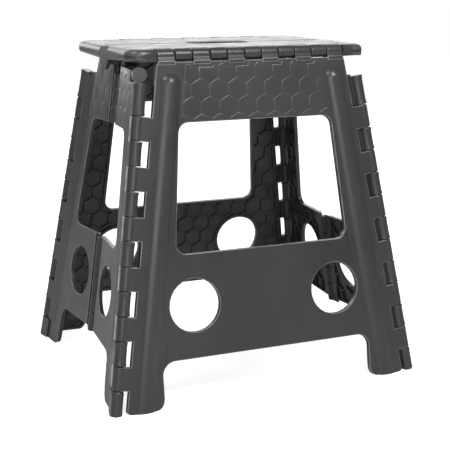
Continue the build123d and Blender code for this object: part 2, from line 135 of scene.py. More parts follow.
class StoolShape(bpy.types.PropertyGroup):
    """Sizes of the moulded detail."""

    pitch: metres("Cell pitch", "Across the flats of a honeycomb cell", 0.0223)
    rib: metres("Rib width", "Width of a honeycomb rib", 0.0016)
    rib_drop: metres("Rib drop", "Rim down to the top of a rib", 0.0004)
    lap: metres("Lap", "How far a rib runs into the wall that it meets", 0.0004)
    leg_depth: metres("Leg depth", "Leg panel, ribs included", 0.006)
    leg_skin: metres("Leg skin", "Skin of a leg panel", 0.0025)
    leg_rim: metres("Leg rim", "Rim round a leg panel", 0.0035)
    end_depth: metres("End depth", "End half, ribs included", 0.005)
    end_skin: metres("End skin", "Skin of an end half", 0.002)
    tread_depth: metres("Tread depth", "Rim of the tread", 0.013)
    tread_skin: metres("Tread skin", "Skin of the tread", 0.003)
    edge_round: metres("Edge round", "Rounding of the outer edges", 0.0009)
    knuckle_round: metres("Knuckle round", "Rounding of a knuckle's ends", 0.0014)
    toe_round: metres("Toe round", "Rounding of the foot of an end half", 0.013)
    sole_round: metres("Sole round", "Rounding of the knuckle on the floor", 0.003)
    end_round: metres("Tread end round", "Rounding round the ends of the tread", 0.0023)
    rim_round: metres("Tread rim round", "Rounding under the ends of the tread", 0.0037)
    slim: metres("Slimming", "Faceted knuckle below its round barrel", 0.0005)
    notch_fill: metres(
        "Notch fill", "How much shallower a leg panel's notches are at the floor", 0.0042
    )
    bead_fade: share("Bead fade", "Share of a bead's rise that is left at the floor", 0.45)
    tread_knuckle: metres("Tread knuckle", "Rise of a tread knuckle over a tab", 0.0005)
    mid_rise: metres("Middle rise", "Rise of a middle knuckle's barrel", 0.00035)
    # the crest of this width carries a painted highlight
    lip_width: metres("Lip width", "Width of the worn crest along an end's corner", 0.003)
    flange_reach: metres("Flange reach", "Corner hinge to the foot of an end's sloping edge", 0.035)
    knuckle: metres("Knuckle", "Radius of a large knuckle", 0.0065)
    mid_knuckle: metres("Middle knuckle", "Radius of a knuckle in an end", 0.00475)
    flare: metres("Flare", "Rise of an end knuckle's flared ends", 0.001)
    lug_height: metres("Lug height", "Floor to a bearing lug", 0.363)
    lug_radius: metres("Lug radius", "Radius of a lug", 0.00832)
    lug_width: metres("Lug width", "Width of a lug", 0.0072)
    lug_out: metres("Lug offset", "Hinge line to the middle of a lug", 0.0025)
    first_row: metres("First row", "Tread hinge to a row of hexagons on a leg panel", 0.0395)
    relief: metres("Relief", "Rise of a hexagon on the outer face", 0.00035)
    relief_slope: metres("Relief slope", "Width of a hexagon's sloping edge", 0.0009)
    relief_gap: metres("Relief gap", "Between two hexagons", 0.0002)
    relief_margin: metres("Relief margin", "Plain band round the hexagons", 0.003)
    plain_end: metres("Plain end", "Length of the tread's edge beyond the tabs", 0.0322)
    bead_reach: metres("Bead reach", "Corner hinge to the hexagons beside a bead", 0.0475)
    leg_head: metres("Leg window head", "Floor to the head of a leg panel's window", 0.311)
    end_head: metres("End window head", "Floor to the head of an end's window", 0.299)


class StoolFinish(bpy.types.PropertyGroup):
    """Colours and gloss."""

    plastic: paint("Plastic", "Charcoal of the panels", (0.034, 0.034, 0.036))
    # lighter plastic on marked faces: rubbing along edges, and a painted highlight, sheen and light
    rubbed_and_lit: paint("Rubbed", "Plastic along its handled edges", (0.5, 0.5, 0.51))
    plastic_rough: share("Roughness", "Satin of the plastic", 0.33)
    plastic_shine: share("Shine", "Strength of the plastic's reflections", 0.5)
    steel: paint("Steel", "Drawn steel of the rods", (0.55, 0.55, 0.56))


class StoolStage(bpy.types.PropertyGroup):
    """Camera and light."""

    camera: position("Camera", "Where the camera stands", (-0.5182, -1.2202, 0.4669))
    target: position("Target", "What the camera looks at", (0.00997, 0, 0.16342))
    lens: FloatProperty(name="Lens", description="Focal length on a 36 mm sensor", default=87.03)
    floor: paint("Floor", "Colour of the floor", (0.7, 0.7, 0.7))
    floor_lift: FloatProperty(
        name="Floor lift", description="Light added to the floor that the camera sees",
        default=0.79,
    )
    ambient: FloatProperty(name="Ambient", description="Soft light from all round", default=0.32)
    sheen: FloatProperty(
        name="Sheen", description="Brightness of the room in a reflection", default=0.25
    )


def panel_axes(node):
    """Turn from a panel's own axes, across, up and outward, to the frame's."""
    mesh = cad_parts[node].data
    outward = max(mesh.polygons, key=lambda face: face.area).normal.copy()
    low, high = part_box(node)
    if outward.dot(low + high) < 0:
        outward.negate()
    up = Vector((0, 1, 0)) if outward.z > LIES else Vector((0, 0, 1))
    across = up.cross(outward).normalized()
    return Matrix((across, outward.cross(across), outward)).transposed().to_4x4()


def panel_copy(node):
    """Merged copy of a panel in its own axes, still in triangles."""
    panel = bmesh.new()
    panel.from_mesh(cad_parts[node].data)
    panel.faces.layers.float.new(WEAR_AND_LIGHT)
    bmesh.ops.remove_doubles(panel, verts=panel.verts, dist=MERGE)
    panel.transform(panel_axes(node).inverted())
    panel.normal_update()
    return panel


def join_flats(panel):
    """Join the triangles of each flat face."""
    bmesh.ops.dissolve_limit(
        panel, angle_limit=ONE_PLANE, verts=panel.verts, edges=panel.edges
    )
    panel.normal_update()


def split_large(panel):
    """Split the faces of many corners, so that a tight spot stays local."""
    large = [face for face in panel.faces if len(face.verts) > MANY]
    bmesh.ops.triangulate(panel, faces=large, quad_method="BEAUTY", ngon_method="BEAUTY")
    panel.normal_update()


def own_line(node, rod):
    """Middle and direction of a hinge rod in a panel's own axes."""
    turn = panel_axes(node).inverted()
    middle, along = hinge_line(rod)
    return turn @ middle, turn.to_3x3() @ along


def off_line(point, middle, along):
    """Distance of a point from a line."""
    away = point - middle
    return (away - along * away.dot(along)).length


def slim_knuckles(panel, lines, radius, shape):
    """Draw the faceted knuckles in under the round barrels that will cover them."""
    corner = radius / cos(pi / CAD_SIDES)
    for middle, along in lines:
        for vert in panel.verts:
            away = vert.co - middle
            away -= along * away.dot(along)
            if abs(away.length - corner) < 2 * NEAR:
                vert.co -= away.normalized() * shape.slim


def inward(line, inside):
    """Direction in a panel's face from a hinge line towards a point."""
    middle, along = line
    towards = inside - middle
    towards.z = 0
    towards -= along * towards.dot(along)
    return towards.normalized()


def fill_notches(panel, line, inside, shape):
    """Make the notches beside a corner hinge shallower towards the floor."""
    middle, along = line
    towards = inward(line, inside)
    reach = {vert: (vert.co - middle).dot(towards) for vert in panel.verts}
    lower = [distance for vert, distance in reach.items() if vert.co.y < middle.y]
    root = min(distance for distance in lower if distance > NECK)
    heights = [vert.co.y for vert in panel.verts]
    low, high = min(heights), max(heights)
    for vert, distance in reach.items():
        rise = (vert.co.y - low) / (high - low)
        toe = 0
        if vert.co.y < low + TOE_REACH:
            toe = max(0, 1 - max(0, distance - root - NEAR) / TOE_REACH)
        if abs(distance - root) < LIMIT:
            toe = 1
        if distance > NECK:
            vert.co -= towards * shape.notch_fill * toe * (1 - rise)


def fade_beads(panel, level, down, shape):
    """Let the beads sink towards the floor, along the floor."""
    along_floor = Vector((0, -down.z / down.y, 1))
    for vert in panel.verts:
        rise = vert.co.z - level
        if rise > NEAR and vert.co.y < 0:
            vert.co -= along_floor * rise * (1 - shape.bead_fade)


def toe_tool(vert, bottom, wall, shape):
    """Prism over the corner of a foot, outside a curve from its bottom to its wall."""
    reach = shape.toe_round
    beyond = reach / 4
    outline = [vert + bottom * reach - wall * beyond]
    outline += [vert + (bottom * (1 - part) ** 2 + wall * part**2) * reach for part in TOE_CURVE]
    outline += [vert + wall * reach - bottom * beyond, vert - (bottom + wall) * beyond]
    tool = bmesh.new()
    tool.faces.new([tool.verts.new(place) for place in outline])
    return thicken(tool, vert.z - 2 * reach, vert.z + reach)


def trim_toes(panel, level, line, down, shape):
    """Round the free corner of an end half's foot."""
    lowest = max(vert.co.dot(down) for vert in panel.verts)
    tools = []
    for vert in panel.verts:
        low = vert.co.dot(down) > lowest - LIMIT and abs(vert.co.z - level) < NEAR
        if low and off_line(vert.co, *line) > 2 * NECK:
            runs = [(edge.other_vert(vert).co - vert.co).normalized() for edge in vert.link_edges]
            runs = [run for run in runs if abs(run.z) < WALL]
            bottoms = [run for run in runs if abs(run.dot(down)) < WALL]
            walls = [run for run in runs if run.dot(down) < -WALL]
            if bottoms and walls:
                tools.append(toe_tool(vert.co.copy(), bottoms[0], walls[0], shape))
    for tool in tools:
        panel = common(panel, tool, "DIFFERENCE")
    panel.normal_update()
    return panel


def trim_feet(panel, level, down, shape):
    """Round the free corner of each foot of a leg panel."""
    lowest = max(vert.co.dot(down) for vert in panel.verts)
    bottoms = [
        vert.co.copy()
        for vert in panel.verts
        if abs(vert.co.z - level) < NEAR and vert.co.dot(down) > lowest - LIMIT
    ]
    for side in (-1, 1):
        own = [place for place in bottoms if place.x * side > 0]
        end = min(own, key=lambda place: abs(place.x))
        walls = []
        for edge in panel.edges:
            low, high = sorted((vert.co.copy() for vert in edge.verts), key=lambda place: place.y)
            flat = abs(low.z - level) < NEAR and abs(high.z - level) < NEAR
            near = (low - end).length < shape.toe_round and abs(low.x) < abs(end.x) + LIMIT
            if flat and near and (high - low).normalized().y > STEEP:
                walls.append((low, high))
        low, high = max(walls, key=lambda wall: (wall[1] - wall[0]).length)
        run = (high - low).normalized()
        corner = low + run * ((end.y - low.y) / run.y)
        panel = common(panel, toe_tool(corner, Vector((side, 0, 0)), run, shape), "DIFFERENCE")
    panel.normal_update()
    return panel


def lift_sole(panel, line, down, shape):
    """Raise the faceted knuckle off the floor, under the rounded end of its barrel."""
    lowest = max(vert.co.dot(down) for vert in panel.verts)
    middle, along = line
    up = along if along.dot(down) < 0 else -along
    for vert in panel.verts:
        if vert.co.dot(down) > lowest - LIMIT and off_line(vert.co, middle, along) < BARREL:
            vert.co += up * shape.sole_round


def prism(profile, middle, towards, along, start, end):
    """Closed strip along a hinge line with a profile of (distance, height)."""
    strip = bmesh.new()
    rings = []
    for place in (start, end):
        ring = []
        for distance, height in profile:
            corner = middle + towards * distance + along * place
            corner.z = height
            ring.append(strip.verts.new(corner))
        rings.append(ring)
        strip.faces.new(ring)
    for first in range(len(profile)):
        second = (first + 1) % len(profile)
        strip.faces.new((rings[0][first], rings[0][second], rings[1][second], rings[1][first]))
    strip.faces.layers.float.new(WEAR_AND_LIGHT)
    bmesh.ops.recalc_face_normals(strip, faces=strip.faces)
    return strip


def flange(panel, node, rod, inside, level, shape):
    """Slope of an end half's edge up to its corner knuckles, with a painted highlight along its
    crest.
    """
    line = own_line(node, rod)
    middle, along = line
    towards = inward(line, inside)
    edge = {}
    for vert in panel.verts:
        distance = (vert.co - middle).dot(towards)
        if vert.co.z > level - NEAR and distance > BARREL:
            edge[distance] = edge.get(distance, []) + [(vert.co - middle).dot(along)]
    root = min(edge)
    places = []
    for distance, found in edge.items():
        if distance < root + LIMIT:
            places += found
    depth = level - middle.z
    radius = shape.knuckle / cos(pi / CAD_SIDES)
    far = Vector((shape.flange_reach, depth))
    turn = atan2(far.y, far.x) + acos(radius / far.length)
    crest = Vector((cos(turn), sin(turn))) * radius
    slope = (crest.y - depth) / (far.x - crest.x)
    base = level - shape.lap
    top = level + slope * (far.x - root)
    profile = [(root, base), (root, top), (far.x, level), (far.x, base)]
    ends = min(places) + shape.lip_width, max(places) - shape.lip_width
    strip = prism(profile, middle, towards, along, *ends)
    crests = [run for run in strip.edges if min(vert.co.z for vert in run.verts) > top - NEAR]
    # the rounded crest is painted lighter: a painted highlight
    soften(strip, crests, shape.lip_width / 2, worn_and_lit=PAINTED_CREST_HIGHLIGHT)
    under = root + shape.lip_width
    high = middle.z + crest.y - NEAR
    low = level + slope * (far.x - under) - NEAR
    profile = [(crest.x, base), (crest.x, high), (under, low), (under, base)]
    for start, end in knuckle_spans(node, rod, shape.knuckle):
        add(strip, prism(profile, middle, towards, along, start + 2 * NEAR, end - 2 * NEAR))
    return strip


def outer_level(panel):
    """Height of the largest flat area that faces out."""
    areas = {}
    for face in panel.faces:
        if face.normal.z > FLAT:
            height = round(face.calc_center_median().z, 5)
            areas[height] = areas.get(height, 0) + face.calc_area()
    return max(areas, key=areas.get)


def faces_at(panel, height, facing):
    """Flat faces at a height that face out, 1, or in, -1."""
    return [
        face
        for face in panel.faces
        if face.normal.z * facing > FLAT and abs(face.calc_center_median().z - height) < NEAR
    ]


def fill_cells(panel, rim, floor):
    """Close the coarse cells in the inner side of a leg panel."""
    cells = []
    for face in panel.faces:
        heights = [vert.co.z for vert in face.verts]
        if min(heights) > rim - NEAR and abs(max(heights) - floor) < NEAR:
            cells.append(face)
    bmesh.ops.delete(panel, geom=cells, context="FACES")
    bmesh.ops.holes_fill(panel, edges=[edge for edge in panel.edges if edge.is_boundary])


def ends_knuckle(edge, middle, along):
    """Whether an edge runs round the end of a knuckle on a hinge line."""
    caps = [abs(face.normal.dot(along)) > FLAT for face in edge.link_faces]
    distances = [off_line(vert.co, middle, along) for vert in edge.verts]
    return sum(caps) == 1 and min(distances) > BORE and max(distances) < NECK


def moulded_edges(panel, lines, down):
    """Edges of the outer faces and of the knuckles' ends on some hinge lines, off the floor."""
    edges = []
    lowest = max(vert.co.dot(down) for vert in panel.verts)
    for edge in panel.edges:
        if len(edge.link_faces) == 2 and edge.is_convex:
            first, second = (face.normal for face in edge.link_faces)
            outer = max(first.z, second.z) > FLAT and min(first.z, second.z) < WALL
            low = all(vert.co.dot(down) > lowest - TOE for vert in edge.verts)
            stands = low and max(first.dot(down), second.dot(down)) > STANDS
            if not stands and (outer or any(ends_knuckle(edge, *line) for line in lines)):
                edges.append(edge)
    return edges


def soften(panel, edges, width, lines=(), worn_and_lit=1):
    """Round some edges and mark the new faces as rubbed and painted with a highlight, away from
    some hinge lines.
    """
    made = bmesh.ops.bevel(
        panel, geom=edges, offset=width, offset_type="OFFSET", affect="EDGES",
        profile_type="SUPERELLIPSE", profile=0.5, segments=ROUND_STEPS,
        clamp_overlap=False, material=-1, loop_slide=True,
    )
    rubbed_and_lit = panel.faces.layers.float.get(WEAR_AND_LIGHT) or panel.faces.layers.float.new(WEAR_AND_LIGHT)
    # the new faces get a lighter colour: partly rubbing, partly a painted highlight
    for face in made["faces"]:
        place = face.calc_center_median()
        face[rubbed_and_lit] = worn_and_lit * all(off_line(place, *line) > BARREL for line in lines)
    panel.normal_update()


def paint_core_light(panel):
    """Paint light on the side of a panel that faces in, as a paler colour."""
    panel.normal_update()
    worn_and_lit = panel.faces.layers.float[WEAR_AND_LIGHT]
    for face in panel.faces:
        if face.normal.z < -WALL:
            # painted light: faces that point in get a paler colour
            face[worn_and_lit] = max(face[worn_and_lit], PAINTED_CORE_LIGHT)


def part_of(panel, faces):
    """New mesh of some of a panel's faces."""
    panel.faces.index_update()
    kept = {face.index for face in faces}
    part = panel.copy()
    part.faces.ensure_lookup_table()
    others = [face for face in part.faces if face.index not in kept]
    bmesh.ops.delete(part, geom=others, context="FACES")
    return part


def thicken(sheet, bottom, top):
    """Turn a flat sheet into a closed slab between two heights."""
    for vert in sheet.verts:
        vert.co.z = bottom
    extruded = bmesh.ops.extrude_face_region(sheet, geom=sheet.faces[:])["geom"]
    raised = [item for item in extruded if isinstance(item, bmesh.types.BMVert)]
    bmesh.ops.translate(sheet, vec=(0, 0, top - bottom), verts=raised)
    bmesh.ops.recalc_face_normals(sheet, faces=sheet.faces)
    return sheet


def honeycomb(low, high, pitch, gap, centre):
    """Flat sheet of hexagons, points up, over a rectangle."""
    sheet = bmesh.new()
    step = pitch * sqrt(3) / 2
    columns = ceil(max(high.x - centre.x, centre.x - low.x) / pitch) + 1
    rows = ceil(max(high.y - centre.y, centre.y - low.y) / step) + 1
    for row in range(-rows, rows + 1):
        for column in range(-columns, columns + 1):
            across = (column + 0.5 * (row % 2)) * pitch
            place = Vector((centre.x + across, centre.y + row * step, 0))
            inside_x = low.x - pitch < place.x < high.x + pitch
            if inside_x and low.y - pitch < place.y < high.y + pitch:
                bmesh.ops.create_circle(
                    sheet, cap_ends=True, segments=6, radius=(pitch - gap) / sqrt(3),
                    matrix=Matrix.Translation(place),
                )
    bmesh.ops.remove_doubles(sheet, verts=sheet.verts, dist=MERGE)
    return sheet


def extent(sheet):
    """Lowest and highest corner of a mesh."""
    places = [vert.co for vert in sheet.verts]
    low = Vector(min(place[axis] for place in places) for axis in range(3))
    high = Vector(max(place[axis] for place in places) for axis in range(3))
    return low, high


def common(shape, tool, operation="INTERSECT"):
    """What two closed meshes have in common, or what a tool leaves of a shape."""
    objects = []
    for part in (shape, tool):
        mesh = bpy.data.meshes.new("cut")
        part.to_mesh(mesh)
        part.free()
        item = bpy.data.objects.new("cut", mesh)
        bpy.context.scene.collection.objects.link(item)
        objects.append(item)
    cut = objects[0].modifiers.new("Common", "BOOLEAN")
    cut.operation = operation
    cut.solver = "MANIFOLD"
    cut.object = objects[1]
    shown = objects[0].evaluated_get(bpy.context.evaluated_depsgraph_get())
    result = bmesh.new()
    result.from_mesh(shown.to_mesh())
    shown.to_mesh_clear()
    for item in objects:
        mesh = item.data
        bpy.data.objects.remove(item)
        bpy.data.meshes.remove(mesh)
    return result


def add(panel, part):
    """Add a mesh to a panel."""
    mesh = bpy.data.meshes.new("part")
    part.to_mesh(mesh)
    part.free()
    panel.from_mesh(mesh)
    bpy.data.meshes.remove(mesh)


def cut(part, point, direction):
    """Cut off what lies beyond a plane and close the cut."""
    everything = part.verts[:] + part.edges[:] + part.faces[:]
    bmesh.ops.bisect_plane(
        part, geom=everything, plane_co=point, plane_no=direction, clear_outer=True
    )
    bmesh.ops.holes_fill(part, edges=[edge for edge in part.edges if edge.is_boundary])
    part.normal_update()


def ribs(region, floor, top, shape, centre):
    """Honeycomb ribs over a flat region, from inside its floor to their tops."""
    low, high = extent(region)
    room = thicken(region, top - shape.lap, floor + 2 * shape.lap)
    net = honeycomb(low, high, shape.pitch, 0, centre)
    cells = net.faces[:]
    bmesh.ops.inset_individual(net, faces=cells, thickness=shape.rib / 2, use_even_offset=True)
    bmesh.ops.delete(net, geom=cells, context="FACES")
    return common(thicken(net, top, floor + shape.lap), room)


def plain_field(panel, level, margin, planes):
    """Flat outer area of a panel inside a margin and behind planes of (point, direction)."""
    field = part_of(panel, faces_at(panel, level, 1))
    rim = bmesh.ops.inset_region(
        field, faces=field.faces[:], thickness=margin, use_even_offset=True, use_boundary=True
    )["faces"]
    bmesh.ops.delete(field, geom=rim, context="FACES")
    for point, direction in planes:
        everything = field.verts[:] + field.edges[:] + field.faces[:]
        bmesh.ops.bisect_plane(
            field, geom=everything, plane_co=point, plane_no=direction, clear_outer=True
        )
    return field


def relief(field, level, shape, centre):
    """Slightly raised hexagons over a flat area of an outer face."""
    low, high = extent(field)
    base = level - shape.lap
    room = thicken(field, base - shape.lap, level + shape.lap)
    net = honeycomb(low, high, shape.pitch, shape.relief_gap, centre)
    pads = common(thicken(net, base, level), room)
    pads.normal_update()
    slivers = set()
    tops = []
    for face in pads.faces:
        if face.normal.z > FLAT:
            if face.calc_area() < shape.relief_slope * face.calc_perimeter() * SLIVER:
                slivers.update(linked(face))
            else:
                tops.append(face)
    whole = [face for face in tops if face not in slivers]
    slopes = bmesh.ops.inset_individual(
        pads, faces=whole, thickness=shape.relief_slope, depth=shape.relief, use_even_offset=True
    )["faces"]
    # the hexagons' slopes are marked lighter: a painted highlight
    rubbed_and_lit = pads.faces.layers.float.get(WEAR_AND_LIGHT) or pads.faces.layers.float.new(WEAR_AND_LIGHT)
    for face in slopes:
        face[rubbed_and_lit] = PAINTED_HEX_HIGHLIGHT
    bmesh.ops.delete(pads, geom=list(slivers), context="FACES")
    return pads


def linked(face):
    """Every face that hangs together with one."""
    found = {face}
    edge_of_search = [face]
    while edge_of_search:
        for edge in edge_of_search.pop().edges:
            for other in edge.link_faces:
                if other not in found:
                    found.add(other)
                    edge_of_search.append(other)
    return found


def hinge_line(rod):
    """Middle and direction of a hinge rod."""
    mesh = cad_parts[rod].data
    runs = []
    for edge in mesh.edges:
        start, end = (mesh.vertices[index].co for index in edge.vertices)
        runs.append(end - start)
    longest = max(runs, key=lambda run: run.length)
    cap = max(mesh.polygons, key=lambda face: abs(face.normal.dot(longest)))
    low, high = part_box(rod)
    return (low + high) / 2, cap.normal.copy()


def knuckle_spans(node, rod, radius):
    """Stretches of a rod's line that a panel's knuckles cover."""
    middle, along = hinge_line(rod)
    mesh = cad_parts[node].data
    corner = radius / cos(pi / CAD_SIDES)
    runs = []
    for edge in mesh.edges:
        ends = [mesh.vertices[index].co - middle for index in edge.vertices]
        off = [(end - along * end.dot(along)).length for end in ends]
        straight = (ends[1] - ends[0]).cross(along).length < NEAR
        if straight and all(abs(distance - corner) < NEAR for distance in off):
            runs.append(sorted(end.dot(along) for end in ends))
    spans = []
    for start, end in sorted(runs):
        if spans and start < spans[-1][1]:
            spans[-1][1] = max(spans[-1][1], end)
        else:
            spans.append([start, end])
    return spans


def edges_along(piece, least):
    """Edges of a turned piece that run along its axis by more than a length."""
    edges = []
    for edge in piece.edges:
        first, second = (vert.co.z for vert in edge.verts)
        if abs(first - second) > least:
            edges.append(edge)
    return edges


def turned(length, radius, rounding):
    """Round piece about an axis, its ends rounded, with loops along it."""
    piece = bmesh.new()
    bmesh.ops.create_cone(
        piece, cap_ends=True, segments=ROUND_SIDES, radius1=radius, radius2=radius, depth=length
    )
    piece.faces.layers.float.new(WEAR_AND_LIGHT)
    walls = set(edges_along(piece, length / 2))
    rims = [edge for edge in piece.edges if edge not in walls]
    soften(piece, rims, rounding, lines=[(Vector((0, 0, 0)), Vector((0, 0, 1)))])
    walls = edges_along(piece, length / 2)
    bmesh.ops.subdivide_edges(piece, edges=walls, cuts=BARREL_LOOPS, use_grid_fill=True)
    return piece


def put(piece, centre, along):
    """Stand a turned piece on its axis and cut it off at the floor."""
    turn = along.to_track_quat("Z", "Y").to_matrix().to_4x4()
    piece.transform(Matrix.Translation(centre) @ turn)
    cut(piece, (0, 0, 0), (0, 0, -1))
    return piece


def barrels(panel, node, rods, shape, radius, flare=0, rise=0):
    """Add a round knuckle over each of a panel's faceted ones, its ends softly flared."""
    covering = radius / cos(pi / CAD_SIDES) + NEAR / 2 + rise
    for rod in rods:
        middle, along = hinge_line(rod)
        for start, end in knuckle_spans(node, rod, radius):
            length = end - start - 2 * NEAR
            lowest = min((middle + along * place).z for place in (start, end))
            rounding = shape.sole_round if lowest < shape.sole_round else shape.knuckle_round
            knuckle = turned(length, covering, rounding)
            for vert in knuckle.verts:
                away = vert.co.to_2d().length
                if flare and away > radius / 2:
                    vert.co.xy *= 1 + flare * (abs(vert.co.z) / length * 2) ** FLARE_POWER / away
            add(panel, put(knuckle, middle + along * (start + end) / 2, along))


def lug(node, rod, shape):
    """Bearing lug over the highest corner knuckle."""
    middle, along = hinge_line(rod)
    outward = panel_axes(node).to_3x3().col[2]
    centre = middle + along * ((shape.lug_height - middle.z) / along.z) + outward * shape.lug_out
    boss = turned(shape.lug_width, shape.lug_radius, shape.sole_round)
    return put(boss, centre, along.cross(outward))


def finish_piece(panel, node, name, body):
    """Shade a finished panel, give it its plastic and let it ride in its node's place."""
    panel.normal_update()
    for face in panel.faces:
        face.smooth = True
        face.material_index = 0
    for edge in panel.edges:
        edge.smooth = len(edge.link_faces) == 2 and edge.calc_face_angle(0) < SMOOTH
    mesh = bpy.data.meshes.new(name)
    panel.to_mesh(mesh)
    panel.free()
    piece = bpy.data.objects.new(name, mesh)
    bpy.context.scene.collection.objects.link(piece)
    mesh.materials.append(plastic())
    weighted = piece.modifiers.new("Even shading", "WEIGHTED_NORMAL")
    weighted.keep_sharp = True
    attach(piece, body)
    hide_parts(node)


def material(name):
    """New node material and its shader."""
    found = bpy.data.materials.new(name)
    found.use_nodes = True
    return found, found.node_tree.nodes["Principled BSDF"]


def shader_node(tree, kind, **values):
    """New shader node with some of its values set."""
    made = tree.nodes.new(kind)
    for name, value in values.items():
        setattr(made, name, value)
    return made


def noise(tree, place, scale, detail):
    """Noise over a piece's own coordinates."""
    made = shader_node(tree, "ShaderNodeTexNoise")
    made.inputs["Scale"].default_value = scale
    made.inputs["Detail"].default_value = detail
    tree.links.new(place.outputs["Object"], made.inputs["Vector"])
    return made.outputs["Fac"]


def spread(tree, value, low, high):
    """A value from 0 to 1 spread between two others."""
    made = shader_node(tree, "ShaderNodeMapRange")
    made.inputs["From Min"].default_value = NOISE_RANGE[0]
    made.inputs["From Max"].default_value = NOISE_RANGE[1]
    made.inputs["To Min"].default_value = low
    made.inputs["To Max"].default_value = high
    tree.links.new(value, made.inputs["Value"])
    return made.outputs["Result"]


def blend(tree, amount, first, second):
    """Two colours mixed by an amount."""
    made = shader_node(tree, "ShaderNodeMix", data_type="RGBA")
    tree.links.new(amount, made.inputs[0])
    for slot, colour in ((6, first), (7, second)):
        if isinstance(colour, bpy.types.NodeSocket):
            tree.links.new(colour, made.inputs[slot])
        else:
            made.inputs[slot].default_value = (*colour, 1)
    return made.outputs[2]


def plastic():
    """Charcoal moulded plastic: satin, with a fine grain, faint flow clouds and lighter marked
    faces: rubbed edges with a painted highlight, plus painted sheen and painted light.
    """
    if "moulded charcoal" in bpy.data.materials:
        return bpy.data.materials["moulded charcoal"]
    finish = bpy.context.scene.stool_finish
    made, shader = material("moulded charcoal")
    tree = made.node_tree
    place = shader_node(tree, "ShaderNodeTexCoord")
    clouds = noise(tree, place, *CLOUDS)
    charcoal = Vector(finish.plastic)
    body = blend(tree, spread(tree, clouds, 0, 1), charcoal * 0.86, charcoal * 1.14)
    # lighter colour where marked: rubbed edges and painted highlights, painted sheen and painted
    # light
    rubbed_and_lit = shader_node(tree, "ShaderNodeAttribute", attribute_name=WEAR_AND_LIGHT)
    patchy = shader_node(tree, "ShaderNodeMath", operation="MULTIPLY")
    tree.links.new(rubbed_and_lit.outputs["Fac"], patchy.inputs[0])
    tree.links.new(spread(tree, noise(tree, place, *PATCHES), 0.13, 0.37), patchy.inputs[1])
    tone = blend(tree, patchy.outputs["Value"], body, finish.rubbed_and_lit)
    tree.links.new(tone, shader.inputs["Base Color"])
    rough = finish.plastic_rough
    gloss = spread(tree, noise(tree, place, *GLOSS), rough - 0.05, rough + 0.05)
    tree.links.new(gloss, shader.inputs["Roughness"])
    shader.inputs["Specular IOR Level"].default_value = finish.plastic_shine
    fine = shader_node(tree, "ShaderNodeBump")
    fine.inputs["Strength"].default_value = 0.14
    fine.inputs["Distance"].default_value = 0.0003
    tree.links.new(noise(tree, place, *GRAIN), fine.inputs["Height"])
    broad = shader_node(tree, "ShaderNodeBump")
    broad.inputs["Strength"].default_value = 0.1
    broad.inputs["Distance"].default_value = 0.0015
    tree.links.new(noise(tree, place, *WAVES), broad.inputs["Height"])
    tree.links.new(fine.outputs["Normal"], broad.inputs["Normal"])
    tree.links.new(broad.outputs["Normal"], shader.inputs["Normal"])
    return made


def steel():
    """Drawn steel rod: fine lines along its length."""
    finish = bpy.context.scene.stool_finish
    made, shader = material("drawn steel")
    tree = made.node_tree
    place = shader_node(tree, "ShaderNodeTexCoord")
    lines = shader_node(tree, "ShaderNodeTexNoise")
    lines.inputs["Scale"].default_value = DRAWN
    tree.links.new(place.outputs["Object"], lines.inputs["Vector"])
    gloss = shader_node(tree, "ShaderNodeMapRange")
    gloss.inputs["To Min"].default_value = 0.28
    gloss.inputs["To Max"].default_value = 0.45
    tree.links.new(lines.outputs["Fac"], gloss.inputs["Value"])
    tree.links.new(gloss.outputs["Result"], shader.inputs["Roughness"])
    shader.inputs["Metallic"].default_value = 1
    shader.inputs["Base Color"].default_value = (*finish.steel, 1)
    return made


def foot_down(node):
    """Straight down in a panel's own axes."""
    return panel_axes(node).inverted().to_3x3() @ Vector((0, 0, -1))


def head_plane(node, height, rise):
    """Level plane of (point, direction) in a panel's own axes, just over a window's head."""
    turn = panel_axes(node).inverted()
    return turn @ Vector((0, 0, height + rise)), turn.to_3x3() @ Vector((0, 0, -1))


def beside(line, distance, inside):
    """Plane of (point, direction) at a distance from a hinge line, on the side of a point."""
    towards = inward(line, inside)
    return line[0] + towards * distance, -towards


